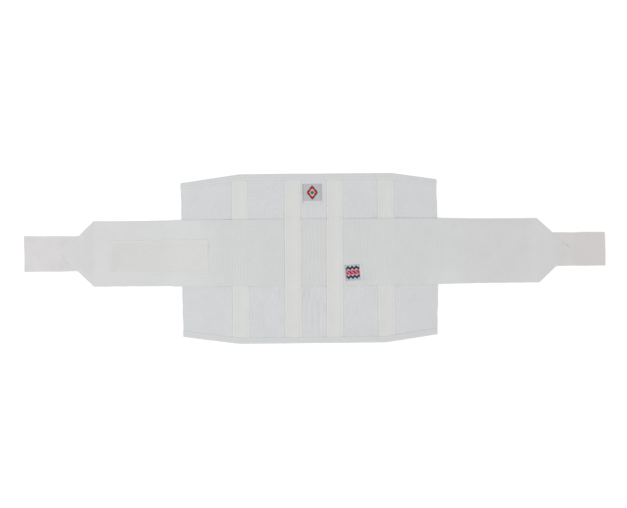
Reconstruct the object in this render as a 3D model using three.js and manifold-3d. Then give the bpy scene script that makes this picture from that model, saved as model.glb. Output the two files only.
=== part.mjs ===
// Elastic back support belt, opened out and laid flat with its outer face up.
// Millimetres. +X runs along the belt, +Y to its upper edge and +Z up, off the surface that it lies on.
// The origin is on that surface, under the middle of the belt's outline.
import * as THREE from "three";
import { mergeVertices } from "three/addons/utils/BufferGeometryUtils.js";
import Module from "manifold-3d";

const wasm = await Module();
wasm.setup();

// Thickness of each cloth, and the air left between two layers that are sewn together
const PANEL_CLOTH = 1.6;
const BAND_CLOTH = 1.6;
const FLAP_CLOTH = 1.4;
const BINDING_CLOTH = 0.9;
const CASING_CLOTH = 1.0;
const TAB_CLOTH = 1.6;
const TAB_SEWN_CLOTH = 1.4;
const PATCH_CLOTH = 1.5;
const LABEL_CLOTH = 0.8;
const GAP = 0.3;

// Back panel: its finished upper and lower edges, and the bow of its two side edges
const UPPER_EDGE = [
  { x: -200, y: 114.3 }, // left corner
  { x: -114, y: 126.6 }, // left shoulder
  { x: -104, y: 127 },
  { x: 112, y: 127 }, // right shoulder
  { x: 121, y: 126.4 },
  { x: 186, y: 116.8 }, // right corner
];
const LOWER_EDGE = [
  { x: -200, y: -115.6 },
  { x: -119, y: -126.4 },
  { x: -109, y: -127 },
  { x: 104, y: -126.6 },
  { x: 113, y: -125.6 },
  { x: 186, y: -114.6 },
];
const SIDE_EDGES = [
  { y: -120, left: -197, right: 182.6 },
  { y: -60, left: -198.4, right: 184.4 },
  { y: 0, left: -199.2, right: 185.2 },
  { y: 60, left: -199, right: 184.6 },
  { y: 120, left: -199.2, right: 183 },
];
const LEFT_SEAM = -111.5; // where the centre elastic meets the wings, under the outer casings
const RIGHT_SEAM = 106.8;
const SEAM_GAP = 0.15; // half the gap between two butted edges
const WING_COLUMNS = 4;

// Binding folded over the panel's upper and lower edges. It lifts them off the surface over a short ramp.
const HEM_WIDTH = 9.7;
const HEM_RAMP = 16;
const HEM_LIFT = BINDING_CLOTH + GAP;
const EDGE_INSET = BINDING_CLOTH + GAP;
const BINDING_OVERHANG = 0.6;
const BINDING_STEP = 5; // run in which the binding climbs onto the end of a casing

// Stay casings: woven tapes sewn down along both edges, each a shallow tunnel between the two hems
const CASINGS = [
  { name: "casing_outer_left", upper_x: -111.9, lower_x: -111.2, over_band: false },
  { name: "casing_inner_left", upper_x: -32.8, lower_x: -32.6, over_band: true },
  { name: "casing_inner_right", upper_x: 30.9, lower_x: 29.5, over_band: true },
  { name: "casing_outer_right", upper_x: 106.8, lower_x: 106.9, over_band: false },
];
const CASING_WIDTH = 23.6;
const CASING_MARGIN = 3; // flat edge outside the sewn line
const CASING_CROWN = 1.6; // height of the tunnel
const CASING_TUCK = 5; // how far each end runs in under the binding
const CASING_TAPER = 12; // run in which the tunnel closes at a hem
const CASING_STEP = 7; // run in which a casing climbs onto the band
const CROWN_COLUMNS = 6;

// Elastic band across the panel, with two free arms that end in folded points
const BAND_MIDDLE = 9.6;
const BAND_HALF = 50;
const BAND_UPPER = BAND_MIDDLE + BAND_HALF;
const BAND_LOWER = BAND_MIDDLE - BAND_HALF;
const ON_PANEL = PANEL_CLOTH + GAP;
const ON_CASING_EDGE = ON_PANEL + CASING_CLOTH + GAP;
const ON_CASING = ON_CASING_EDGE + CASING_CROWN;
const ON_TAB = TAB_SEWN_CLOTH + GAP + FLAP_CLOTH;
const BAND = [
  { x: -379.5, half: 1.5, under: ON_TAB }, // tip of the left point
  { x: -331.2, half: 49.2, under: ON_TAB }, // left point begins
  { x: -320, half: 49.2, under: ON_TAB },
  { x: -284, half: 49.2, under: 0 },
  { x: -215, half: 49.4, under: 0 },
  { x: -201, half: 49.6, under: ON_PANEL }, // left side edge of the panel
  { x: -136, half: 49.8, under: ON_PANEL },
  { x: -124, half: 49.9, under: ON_CASING_EDGE },
  { x: -111.5, half: BAND_HALF, under: ON_CASING }, // over the outer left casing
  { x: -99, half: BAND_HALF, under: ON_CASING_EDGE },
  { x: -87, half: BAND_HALF, under: ON_PANEL },
  { x: 82, half: BAND_HALF, under: ON_PANEL },
  { x: 94.4, half: BAND_HALF, under: ON_CASING_EDGE },
  { x: 106.8, half: BAND_HALF, under: ON_CASING }, // over the outer right casing
  { x: 119.2, half: 49.9, under: ON_CASING_EDGE },
  { x: 131, half: 49.8, under: ON_PANEL },
  { x: 187, half: 49.4, under: ON_PANEL }, // right side edge of the panel
  { x: 201, half: 49, under: 0 },
  { x: 290, half: 48.6, under: 0 },
  { x: 325, half: 48.5, under: ON_TAB },
  { x: 336.4, half: 48.5, under: ON_TAB }, // right point begins
  { x: 384.5, half: 1.5, under: ON_TAB }, // tip of the right point
];
const FLAP_SPLIT = 1; // slit where the two folded corners meet
const FUSE = 0.1; // overlap that joins the folded corners to the band

// Hook tabs sewn under the points of the band, and the loop patch on the left arm
const TABS = [
  { name: "hook_tab_left", free_end: -435.5, point: -381, sewn_end: -336, middle: 10.3, half: 26.7 },
  { name: "hook_tab_right", free_end: 435.5, point: 386, sewn_end: 341, middle: 10.9, half: 25.1 },
];
const TAB_RAMP = 2; // run in which a tab thins to its sewn end
const PATCH = { left: -307.8, right: -159.7, middle: 4.4, half: 25.7, slope: -0.009 };

// Sewn-on cloth labels
const LABELS = [
  { name: "label_upper", x: -1.2, y: 97.2, width: 31, height: 28, turn: 1.2, on_band: false },
  { name: "label_lower", x: 58.2, y: -22.3, width: 24, height: 24, turn: 4.2, on_band: true },
];
const LABEL_CELLS = 4;

const ELASTIC = new THREE.MeshStandardMaterial({ color: 0xd1d3d3, roughness: 0.85, metalness: 0 });
const WING_TWILL = new THREE.MeshStandardMaterial({ color: 0xd0d2d4, roughness: 0.8, metalness: 0 });
const COTTON_TAPE = new THREE.MeshStandardMaterial({ color: 0xd6d6d3, roughness: 0.9, metalness: 0 });
const HOOK_TAPE = new THREE.MeshStandardMaterial({ color: 0xd5d1d1, roughness: 0.5, metalness: 0 });
const LOOP_PILE = new THREE.MeshStandardMaterial({ color: 0xd6d6d2, roughness: 0.95, metalness: 0 });
const LABEL_SATIN = new THREE.MeshStandardMaterial({ color: 0xb9bcc0, roughness: 0.6, metalness: 0 });

// Value of one column of a table at a place along its key, on straight lines between the rows
function read(table, column, at, key = "x") {
  const next = table.findIndex((row) => at <= row[key]);
  if (next === 0) return table[0][column];
  if (next < 0) return table[table.length - 1][column];
  const [a, b] = [table[next - 1], table[next]];
  return THREE.MathUtils.mapLinear(at, a[key], b[key], a[column], b[column]);
}

// 0 before start, 1 after end, and a straight ramp between them
function ramp(at, start, end) {
  return THREE.MathUtils.clamp((at - start) / (end - start), 0, 1);
}

// The places that lie between two ends, with the ends added to them
function stationsWithin(places, first, last) {
  return [first, ...places.filter((x) => x > first && x < last), last];
}

function evenly(first, last, count) {
  return Array.from({ length: count + 1 }, (_, i) => THREE.MathUtils.lerp(first, last, i / count));
}

// Moves every corner of a geometry and leaves one closed skin of shared corners
function moved(geometry, place) {
  const position = geometry.attributes.position;
  for (let i = 0; i < position.count; i++) {
    const point = place(position.getX(i), position.getY(i), position.getZ(i));
    position.setXYZ(i, point.x, point.y, point.z);
  }
  geometry.deleteAttribute("normal");
  geometry.deleteAttribute("uv");
  const skin = mergeVertices(geometry);
  skin.computeVertexNormals();
  return skin;
}

// A flat cut of cloth laid in place: lay(column, row) gives x, y and the heights of its under and over faces
function cloth(columns, rows, lay) {
  const flat = new THREE.BoxGeometry(1, 1, 1, columns.length - 1, rows.length - 1, 1);
  return moved(flat, (u, v, w) => {
    const column = columns[Math.round((u + 0.5) * (columns.length - 1))];
    const row = rows[Math.round((v + 0.5) * (rows.length - 1))];
    const spot = lay(column, row);
    return new THREE.Vector3(spot.x, spot.y, w < 0 ? spot.under : spot.over);
  });
}

function solid(geometry) {
  const skin = geometry.clone();
  skin.deleteAttribute("normal");
  skin.deleteAttribute("uv");
  const merged = mergeVertices(skin);
  const vertProperties = new Float32Array(merged.attributes.position.array);
  const triVerts = new Uint32Array(merged.index.array);
  return new wasm.Manifold(new wasm.Mesh({ numProp: 3, vertProperties, triVerts }));
}

function joined(geometries) {
  const whole = geometries.map(solid).reduce((sum, next) => sum.add(next));
  const mesh = whole.getMesh();
  const geometry = new THREE.BufferGeometry();
  geometry.setAttribute("position", new THREE.BufferAttribute(new Float32Array(mesh.vertProperties), 3));
  geometry.setIndex(new THREE.BufferAttribute(new Uint32Array(mesh.triVerts), 1));
  geometry.computeVertexNormals();
  return geometry;
}

// Height of the panel's under face: on the surface, and lifted by the binding along both hems
function panelUnder(x, y) {
  const inside = Math.min(read(UPPER_EDGE, "y", x) - y, y - read(LOWER_EDGE, "y", x));
  return HEM_LIFT * (1 - ramp(inside, HEM_WIDTH, HEM_WIDTH + HEM_RAMP));
}

function panelOver(x, y) {
  return panelUnder(x, y) + PANEL_CLOTH;
}

function bandOver(x) {
  return read(BAND, "under", x) + BAND_CLOTH;
}

// Rows of the panel as distances inside its lower edge, then inside its upper edge
const PANEL_ROWS = [
  ...[EDGE_INSET, HEM_WIDTH, HEM_WIDTH + HEM_RAMP].map((inside) => ({ inside, upper: false })),
  ...[HEM_WIDTH + HEM_RAMP, HEM_WIDTH, EDGE_INSET].map((inside) => ({ inside, upper: true })),
];

function panelSpot(x, row) {
  const y = row.upper ? read(UPPER_EDGE, "y", x) - row.inside : read(LOWER_EDGE, "y", x) + row.inside;
  return { x, y, under: panelUnder(x, y), over: panelOver(x, y) };
}

function backPanel() {
  const shoulders = [...UPPER_EDGE, ...LOWER_EDGE].map((corner) => corner.x).sort((a, b) => a - b);
  const columns = stationsWithin(shoulders, LEFT_SEAM + SEAM_GAP, RIGHT_SEAM - SEAM_GAP);
  return cloth(columns, PANEL_ROWS, panelSpot);
}

// A wing runs out from its seam to a bowed side edge
function wing(seam, side) {
  const columns = evenly(0, 1, WING_COLUMNS).map((share) => (side === "left" ? 1 - share : share));
  return cloth(columns, PANEL_ROWS, (share, row) => {
    const straight = panelSpot(THREE.MathUtils.lerp(seam, SIDE_EDGES[0][side], share), row);
    const x = THREE.MathUtils.lerp(seam, read(SIDE_EDGES, side, straight.y, "y"), share);
    return panelSpot(x, row);
  });
}

function casingMiddle(casing, y) {
  const [lower, upper] = [LOWER_EDGE[2].y, UPPER_EDGE[2].y];
  return THREE.MathUtils.mapLinear(y, lower, upper, casing.lower_x, casing.upper_x);
}

// Tape thickness that a binding has to climb where it covers the end of a casing
function casingUnderBinding(x, y) {
  const clear = CASING_WIDTH / 2 + GAP;
  const near = Math.min(...CASINGS.map((casing) => Math.abs(x - casingMiddle(casing, y))));
  return (CASING_CLOTH + GAP) * (1 - ramp(near, clear, clear + BINDING_STEP));
}

function bindingStations(y) {
  const reach = [CASING_WIDTH / 2 + GAP, CASING_WIDTH / 2 + GAP + BINDING_STEP];
  const steps = CASINGS.flatMap((casing) =>
    reach.flatMap((r) => [casingMiddle(casing, y) - r, casingMiddle(casing, y) + r]),
  );
  const edge = y > 0 ? UPPER_EDGE : LOWER_EDGE;
  const corners = [...edge.map((corner) => corner.x), ...steps].sort((a, b) => a - b);
  const left = read(SIDE_EDGES, "left", y, "y") - BINDING_OVERHANG;
  const right = read(SIDE_EDGES, "right", y, "y") + BINDING_OVERHANG;
  return stationsWithin(corners, left, right);
}

// A tape folded over the panel's edge: its section is a U that lies open to the inside of the panel
function binding(edge) {
  const upper = edge === UPPER_EDGE;
  const top = HEM_LIFT + PANEL_CLOTH + GAP + BINDING_CLOTH;
  const fold = BINDING_CLOTH / 2;
  const section = new THREE.Shape([
    new THREE.Vector2(HEM_WIDTH, 0),
    new THREE.Vector2(HEM_WIDTH, BINDING_CLOTH),
    new THREE.Vector2(BINDING_CLOTH, BINDING_CLOTH),
    new THREE.Vector2(BINDING_CLOTH, top - BINDING_CLOTH),
    new THREE.Vector2(HEM_WIDTH, top - BINDING_CLOTH),
    new THREE.Vector2(HEM_WIDTH, top),
    new THREE.Vector2(fold, top),
    new THREE.Vector2(0, top - fold),
    new THREE.Vector2(0, fold),
    new THREE.Vector2(fold, 0),
  ]);
  const stations = bindingStations(edge[2].y);
  if (upper) stations.reverse();
  const steps = stations.length - 1;
  const strip = new THREE.ExtrudeGeometry(section, { depth: steps, steps, bevelEnabled: false });
  return moved(strip, (inside, height, along) => {
    const x = stations[Math.round(along)];
    const rise = height > top / 2 ? casingUnderBinding(x, edge[2].y) : 0;
    const outer = read(edge, "y", x);
    return new THREE.Vector3(x, upper ? outer - inside : outer + inside, height + rise);
  });
}

// Height of a casing's sewn edges: on the panel, or on the band where the casing crosses over it
function casingBase(casing, x, y) {
  const onPanel = panelOver(x, y) + GAP;
  if (!casing.over_band) return onPanel;
  const beyond = Math.max(y - BAND_UPPER, BAND_LOWER - y) - GAP;
  return THREE.MathUtils.lerp(bandOver(x) + GAP, onPanel, ramp(beyond, 0, CASING_STEP));
}

function casingTape(casing) {
  const half = CASING_WIDTH / 2;
  const flat = half - CASING_MARGIN;
  const tuck = HEM_WIDTH - CASING_TUCK;
  const [lower, upper] = [LOWER_EDGE[2].y, UPPER_EDGE[2].y].map((y) => y - Math.sign(y) * tuck);
  const hems = [CASING_TUCK, CASING_TUCK + CASING_TAPER, CASING_TUCK + HEM_RAMP];
  const crossing = [BAND_LOWER - GAP, BAND_UPPER + GAP].flatMap((y) => [y, y + Math.sign(y) * CASING_STEP]);
  const bends = [...hems.map((h) => lower + h), ...hems.map((h) => upper - h), ...crossing];
  const rows = stationsWithin(bends.sort((a, b) => a - b), lower, upper);
  const columns = [-half, ...evenly(-flat, flat, CROWN_COLUMNS), half];
  return cloth(columns, rows, (across, y) => {
    const x = casingMiddle(casing, y) + across;
    const round = Math.abs(across) < flat ? (1 + Math.cos((Math.PI * across) / flat)) / 2 : 0;
    const open = ramp(Math.min(y - lower, upper - y), CASING_TUCK, CASING_TUCK + CASING_TAPER);
    const under = casingBase(casing, x, y) + CASING_CROWN * round * open;
    return { x, y, under, over: under + CASING_CLOTH };
  });
}

// One folded corner, lying under the point of the band
function foldedCorner(tip, base, side) {
  const split = FLAP_SPLIT / 2;
  const corner = new THREE.Shape([
    new THREE.Vector2(tip.x, side * tip.half),
    new THREE.Vector2(tip.x, side * split),
    new THREE.Vector2(base.x, side * split),
    new THREE.Vector2(base.x, side * base.half),
  ]);
  const layer = new THREE.ExtrudeGeometry(corner, { depth: FLAP_CLOTH + FUSE, bevelEnabled: false });
  return layer.translate(0, BAND_MIDDLE, ON_TAB - FLAP_CLOTH);
}

function band() {
  const strip = cloth(BAND, [-1, 1], (row, side) => {
    const y = BAND_MIDDLE + side * row.half;
    return { x: row.x, y, under: row.under, over: row.under + BAND_CLOTH };
  });
  const ends = [
    [BAND[0], BAND[1]],
    [BAND[BAND.length - 1], BAND[BAND.length - 2]],
  ];
  const corners = ends.flatMap(([tip, base]) => [-1, 1].map((side) => foldedCorner(tip, base, side)));
  return joined([strip, ...corners]);
}

function hookTab(tab) {
  const inward = Math.sign(tab.sewn_end - tab.free_end);
  const columns = [tab.free_end, tab.point - inward * TAB_RAMP, tab.point, tab.sewn_end];
  if (inward < 0) columns.reverse();
  return cloth(columns, [-1, 1], (x, side) => {
    const free = (tab.point - x) * inward > 0;
    const over = free ? TAB_CLOTH : TAB_SEWN_CLOTH;
    return { x, y: tab.middle + side * tab.half, under: 0, over };
  });
}

function loopPatch() {
  const columns = stationsWithin(BAND.map((row) => row.x), PATCH.left, PATCH.right);
  const centre = (PATCH.left + PATCH.right) / 2;
  return cloth(columns, [-1, 1], (x, side) => {
    const y = PATCH.middle + PATCH.slope * (x - centre) + side * PATCH.half;
    const under = bandOver(x) + GAP;
    return { x, y, under, over: under + PATCH_CLOTH };
  });
}

function label(tag) {
  const turn = THREE.MathUtils.degToRad(tag.turn);
  const columns = evenly(-tag.width / 2, tag.width / 2, LABEL_CELLS);
  const rows = evenly(-tag.height / 2, tag.height / 2, LABEL_CELLS);
  return cloth(columns, rows, (u, v) => {
    const x = tag.x + u * Math.cos(turn) - v * Math.sin(turn);
    const y = tag.y + u * Math.sin(turn) + v * Math.cos(turn);
    const under = (tag.on_band ? bandOver(x) : panelOver(x, y)) + GAP;
    return { x, y, under, over: under + LABEL_CLOTH };
  });
}

function piece(name, geometry, material) {
  const mesh = new THREE.Mesh(geometry, material);
  mesh.name = name;
  return mesh;
}

const panel = new THREE.Group();
panel.add(
  piece("back_panel", backPanel(), ELASTIC),
  piece("wing_left", wing(LEFT_SEAM - SEAM_GAP, "left"), WING_TWILL),
  piece("wing_right", wing(RIGHT_SEAM + SEAM_GAP, "right"), WING_TWILL),
  piece("binding_upper", binding(UPPER_EDGE), ELASTIC),
  piece("binding_lower", binding(LOWER_EDGE), ELASTIC),
  ...CASINGS.map((casing) => piece(casing.name, casingTape(casing), COTTON_TAPE)),
);

const closure = new THREE.Group();
closure.add(
  piece("side_pull_band", band(), ELASTIC),
  ...TABS.map((tab) => piece(tab.name, hookTab(tab), HOOK_TAPE)),
  piece("loop_patch", loopPatch(), LOOP_PILE),
);

const labels = new THREE.Group();
labels.add(...LABELS.map((tag) => piece(tag.name, label(tag), LABEL_SATIN)));

const belt = new THREE.Group();
belt.add(panel, closure, labels);

export default belt;
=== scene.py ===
import math
from contextlib import contextmanager

import bpy
import numpy as np
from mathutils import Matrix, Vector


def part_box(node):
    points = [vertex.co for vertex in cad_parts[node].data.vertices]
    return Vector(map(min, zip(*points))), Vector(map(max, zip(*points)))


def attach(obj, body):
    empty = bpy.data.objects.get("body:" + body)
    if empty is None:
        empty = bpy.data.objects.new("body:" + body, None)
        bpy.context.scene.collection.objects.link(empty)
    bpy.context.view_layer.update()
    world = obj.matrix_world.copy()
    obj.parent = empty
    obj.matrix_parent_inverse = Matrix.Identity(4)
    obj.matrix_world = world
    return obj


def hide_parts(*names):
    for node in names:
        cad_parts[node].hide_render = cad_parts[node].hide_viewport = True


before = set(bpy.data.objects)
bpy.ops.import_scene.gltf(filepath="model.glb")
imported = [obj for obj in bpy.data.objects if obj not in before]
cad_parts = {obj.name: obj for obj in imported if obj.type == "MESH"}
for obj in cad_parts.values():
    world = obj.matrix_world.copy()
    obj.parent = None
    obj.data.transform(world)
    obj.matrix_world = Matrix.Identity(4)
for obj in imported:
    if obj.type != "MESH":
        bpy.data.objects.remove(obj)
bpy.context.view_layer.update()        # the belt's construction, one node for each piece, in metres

bl_info = {
    "name": "Back Support Belt",
    "version": (1, 0, 0),
    "blender": (4, 5, 0),
    "location": "View3D > Sidebar > Belt",
    "description": "Lays out an elastic back support belt in cloth, tape and thread on a studio floor",
    "category": "Add Mesh",
}

# Lengths below are millimetres, as on a cutting table. MM turns them into Blender's metres.
MM = 0.001

# Finished outline of the back panel: (x, y) along its two hems, and (y, x) down its two sides
UPPER_EDGE = ((-200, 114.3), (-114, 126.6), (-104, 127), (112, 127), (121, 126.4), (186, 116.8))
LOWER_EDGE = ((-200, -115.6), (-119, -126.4), (-109, -127), (104, -126.6), (113, -125.6), (186, -114.6))
LEFT_SIDE = ((-120, -197), (-60, -198.4), (0, -199.2), (60, -199), (120, -199.2))
RIGHT_SIDE = ((-120, 182.6), (-60, 184.4), (0, 185.2), (60, 184.6), (120, 183))
PANEL_TOP = 127
PANEL_BOTTOM = -127
# Seams between the knitted centre and the wings, and the share of its box that a wing fills
LEFT_SEAM = -111.5
RIGHT_SEAM = 106.8
SEAM_GAP = 0.15

# Air between two cloths that are sewn together, and the thickness of each cloth as it lies
SEWN = 0.05
PANEL_CLOTH = 1.5
BINDING_CLOTH = 0.32
CASING_CLOTH = 0.38
BAND_CLOTH = 0.55
POINT_CLOTH = 0.15
TAB_CLOTH = 0.6
PATCH_CLOTH = 0.2
LABEL_CLOTH = 0.3
# Room kept at each face of the panel for the relief of its cloth
RELIEF = 0.15
# Half width of the hollow along a row of stitches, and its depth in tape and in the patch
DENT_WIDTH = 0.8
TAPE_DENT = 0.1
PATCH_DENT = 0.08

# Folds of the knit: height, distance from fold to fold, x of one of them, and the line across the panel
# where the folds above stand half a fold beside those below
FOLD_HEIGHT = 0.62
FOLD_PITCH = 9
FOLD_START = -15.3
FOLD_LINE = -63.5
# Where they fade, along y: below the band, towards the lower hem, and twice above the band
FADE_BELOW = (-52, -44)
FADE_HEM = (-110, -88)
FADE_ABOVE = ((61, 66), (76, 84))
# What is left of them at the lower hem, above the band and beside the outer casings
HEM_SHARE = 0.25
ABOVE_SHARE = 0.35
BESIDE_SHARE = 0.4
# Middle and half width of the knit between the inner casings
BETWEEN_MIDDLE = -1
BETWEEN_HALF = 25

# Bindings: width on the panel, length of the ramp beside them, their rows of stitches, and what follows
HEM_WIDTH = 9.7
HEM_RAMP = 16
HEM_ROWS = (4.7, 8.9)
HEM_ROW_ENDS = (3, 4)
HEM_LIFT = BINDING_CLOTH + SEWN
BINDING_TOP = HEM_LIFT + PANEL_CLOTH + SEWN + BINDING_CLOTH
EDGE_INSET = BINDING_CLOTH + SEWN

# Stay casings: x of the middle line at the upper and at the lower hem, and whether the band runs under it
CASINGS = {
    "casing_outer_left": (-111.9, -111.2, False),
    "casing_inner_left": (-32.8, -32.6, True),
    "casing_inner_right": (30.9, 29.5, True),
    "casing_outer_right": (106.8, 106.9, False),
}
CASING_WIDTH = 23.6
CASING_WIDTHS = ((PANEL_BOTTOM, 24.5), (PANEL_TOP, 23.2))
# Flat margin beside the tunnel, its height, how far the ends are tucked under the hems, and its taper there
CASING_MARGIN = 3
CASING_CROWN = 0.7
CASING_TUCK = 5
CASING_TAPER = 12
CASING_ENDS = (PANEL_BOTTOM + HEM_WIDTH - CASING_TUCK, PANEL_TOP - HEM_WIDTH + CASING_TUCK)
# How far a casing takes to come down beside the band, its stitch rows and the width of its painted edge
# highlight
CASING_STEP = 4
CASING_ROW = CASING_WIDTH / 2 - 2.8
CASING_HIGHLIGHT = 1.8

# Elastic band: height of the middle of its cloth along x, which follows from what it lies on
FOLD_SPACE = POINT_CLOTH + SEWN
ON_PANEL = PANEL_CLOTH + 2 * SEWN + BAND_CLOTH / 2
ON_CASING = ON_PANEL + CASING_CLOTH + SEWN
ON_FLOOR = BAND_CLOTH / 2
ON_TAB = TAB_CLOTH + SEWN + POINT_CLOTH / 2 + FOLD_SPACE
BAND_LEVELS = (
    (-385, ON_TAB), (-331.2, ON_TAB), (-309, ON_FLOOR), (-250, ON_FLOOR), (-201, ON_PANEL),
    (-148, ON_PANEL), (-124, ON_CASING), (-99, ON_CASING), (-75, ON_PANEL), (70, ON_PANEL),
    (94.4, ON_CASING), (119.2, ON_CASING), (143, ON_PANEL), (187, ON_PANEL), (236, ON_FLOOR),
    (306, ON_FLOOR), (333.6, ON_TAB), (390, ON_TAB),
)
# Its middle line, half its cut width, and half its width along x
BAND_MIDDLE = 9.6
BAND_HALF = 50
BAND_HALVES = (
    (-331.2, 49.0), (-216, 49.1), (-212, 49.7), (-111.5, 50), (119, 50), (186, 49.2), (280, 48.2),
    (334, 48.2),
)
# Upright ribs of the band along x: distance from rib to rib, and how far they stand up
BAND_RIBS = (
    (-380, 4.2, 0.02), (-230, 4.2, 0.04), (-190, 3.5, 0.08), (-165, 3.45, 0.28), (-125, 3.45, 0.28),
    (-108, 4.65, 0.2), (-85, 4.4, 0.21), (-62, 3.6, 0.23), (-45, 3.6, 0.23), (-18, 5.7, 0.19),
    (15, 5.7, 0.19), (50, 4.65, 0.19), (80, 4.5, 0.2), (98, 3.4, 0.27), (118, 3.4, 0.26), (145, 3.9, 0.2),
    (185, 4.0, 0.17), (235, 4.0, 0.03), (385, 4.0, 0.02),
)
# Height of a rib that shows in full, and places at which the ribs are counted
RIB_HEIGHT = 0.25
RIB_PLACES = 400
# Painted highlight on the band along x: it is made lighter where its slopes and crests catch the light
BAND_HIGHLIGHT = (
    (-385, 0), (-334, 0), (-328, 0.85), (-300, 0.75), (-245, 0.8), (-215, 1), (-178, 1), (-158, 0.5),
    (-138, 0.2), (-90, 0.2), (-70, 0), (75, 0.1), (97, 0.5), (112, 0.5), (128, 0.15), (160, 0.15),
    (180, 0.35), (225, 0.2), (310, 0.2), (332, 0.95), (352, 0.7), (372, 0.2),
)
# Painted highlight on its lower edge, how far below its middle that begins, and how far its tint has faded
LOWER_HIGHLIGHT = (
    (-270, 0.4), (-250, 0), (160, 0), (182, 0.9), (205, 0.8), (235, 0.3), (290, 0.15), (315, 0.6), (335, 0),
)
LOWER_PART = (12, 40)
BAND_FADED = ((-260, 1), (-225, 0), (198, 0), (238, 1))
# Where its arms come free and sag, and where its upper edge stands a little open on the right wing
ARMS = (200, 230)
OPEN_WING = ((118, 140), (186, 196))
OPEN_EDGE = (40, 49)
OPEN_HEIGHT = 0.45
# Points: x where the upper and the lower slanting edge begin, x of the tip, and how far the tip hangs low
LEFT_POINT = (-331.2, -331.2, -379.5, 1.6)
RIGHT_POINT = (333.6, 336.9, 384.5, 0.9)
# Half width of a blunt tip, gap between its two flaps, and the length over which the cloth gets thin
POINT_BLUNT = 1.8
FLAP_SPLIT = 0.6
POINT_PRESS = 10
# A point's stitches: where the slanting rows meet, from the tip, and their share of its hang, where they
# start before its base, and the upright seam past its base
POINT_APEX = 5.5
APEX_HANG = 0.8
POINT_START = 1.5
POINT_SEAM = 5
# Painted highlight on a point's folded rim: how much lighter it is made above and below its middle, how
# wide the rim is and the share of the slope over which it begins
FOLD_HIGHLIGHTS = {LEFT_POINT: (0.55, 0.55), RIGHT_POINT: (0.3, 0)}
FOLD_RIM = (4, 14)
RIM_START = 0.12
# Where an edge of a point stands open: x and y, reach along both, and height
POINT_LIFTS = ((379, 17, 6, 5, 1.1), (-373, -1, 9, 7, 0.9))
# Rows of the band's cloth, as shares of its half width, and rows of a flap and of the bend beside it
ACROSS = np.linspace(-1, 1, 25)
FLAP_ROWS = 11
BEND_ROWS = 7

# Hook tabs: free end, start of the sewn end, sewn end, middle and half height
LEFT_TAB = (-435.5, -381, -336, 10.3, 26.7)
RIGHT_TAB = (435.5, 386, 341, 10.9, 25.1)
# Length over which a tab comes down off its hooks, where the wave of its free end dies out, and how strong
# the painted tone at its sewn end is and how far in that is reached: shade on the left tab, light on the
# right
TAB_SLOPE = 14
TAB_FREE = (20, 50)
TAB_PAINTED_TONE = 0.6
TONE_REACH = 8
# A hook: its whole height, its stem's height, the radius of its bend and of its fibre, and its turn
HOOK_HEIGHT = 0.85
HOOK_STEM = 0.52
HOOK_BEND = 0.19
HOOK_RADIUS = 0.13
HOOK_TURN = math.radians(-150)
# The field of hooks: margins at the free end, at the lower and the upper edge, and at both once staggered,
# its reach past the tip of the point, and the gaps left beside the point and beside the slope
HOOK_MARGINS = (1.6, 2.2, 2, 1.5)
HOOK_REACH = 28
HOOK_GAP = 3
SLOPE_GAP = 13

# Loop patch: its two ends, middle, half height and slope, its row of stitches and its bare rim
PATCH = (-307.8, -159.7)
PATCH_MIDDLE = 4.5
PATCH_HALF = 25.2
PATCH_SLOPE = 0.005
PATCH_ROW = 2.2
PATCH_RIM = (2.4, 4)
# Painted shade on the patch along x: darkest at its outer end, fading out towards the wing
PATCH_SHADE = ((-308, 0.72), (-285, 0.55), (-225, 0.3), (-205, 0.05))
# A loop: radius of its arch and of its fibre, height cut off, how flat it is pressed, its lean in radians
# and how deep it sits in the patch
LOOP_ARCH = 0.5
LOOP_FIBRE = 0.07
LOOP_CUT = 0.05
LOOP_FLATTENED = 0.6
LOOP_LEAN = 0.7
LOOP_SINK = 0.05
# Margins of the pile at the left and lower edges, and at the right and upper edges
PILE_MARGINS = (3.4, 3.2)

# Sewn labels: middle, width, height and turn in degrees
LABELS = {
    "label_upper": (-2.7, 97.0, 29, 29.4, 0.8),
    "label_lower": (59.1, -21.4, 26.5, 23.5, 3.9),
}
# A label's folded ends: where they begin and are full, from its edge, their rise and their row of stitches
LABEL_FOLD = (4.2, 3.4)
LABEL_RISE = 0.15
LABEL_ROW = 1.6
# Threads of the labels' patterns, by sRGB hex
LABEL_THREADS = {
    "light": ("white label satin", "CFD1D3"),
    "red": ("red label thread", "C20A16"),
    "crimson": ("crimson label thread", "B01F3C"),
    "green": ("green label thread", "1E7A44"),
    "navy": ("navy label thread", "2A2E4A"),
    "pink": ("pink label thread", "CE8490"),
}
# Patterns in cells of a millimetre. The lozenge: middle, half its size, its rings and the strip below it
LOZENGE_MIDDLE = (14, 16)
LOZENGE_HALF = (9, 11)
LOZENGE_RINGS = ((0.34, "green"), (0.5, "light"), (0.82, "red"), (0.97, "navy"))
LOZENGE_STRIP = 4
# The stripes: first cell and size of their square, rows of the bar, cells in a repeat, of pink and of navy
STRIPES_START = (1, 2)
STRIPES_SIZE = 20
BAR_ROWS = range(7, 13)
REPEAT = 6
PINK_CELLS = 2
NAVY_CELLS = 4

# The photograph's frame: pixels across, size of one on the floor, its middle, and the belt's turn
PHOTO_WIDTH = 627
PHOTO_MM_PER_PIXEL = 1.5
PHOTO_MIDDLE = (-1.65, 6.9)
PHOTO_TURN = math.radians(-0.5)
LENS = 85
SENSOR = 36
# Studio, in metres and watts: a wide soft sun from the lower right, a soft lamp at the left and white walls
KEY_PLACE = (0.66, -0.42, 1.0)
KEY_POWER = 0.962
KEY_SPREAD = math.radians(40)
FILL_PLACE = (-0.75, -0.15, 1.2)
FILL_POWER = 3.9
FILL_SIZE = 1.2
WALL_LIGHT = 0.62
FLOOR_SIZE = 30
FLOOR_DROP = 0.1
PAPER_WHITE = 0.9
PAPER_GLOW = 0.18

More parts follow.
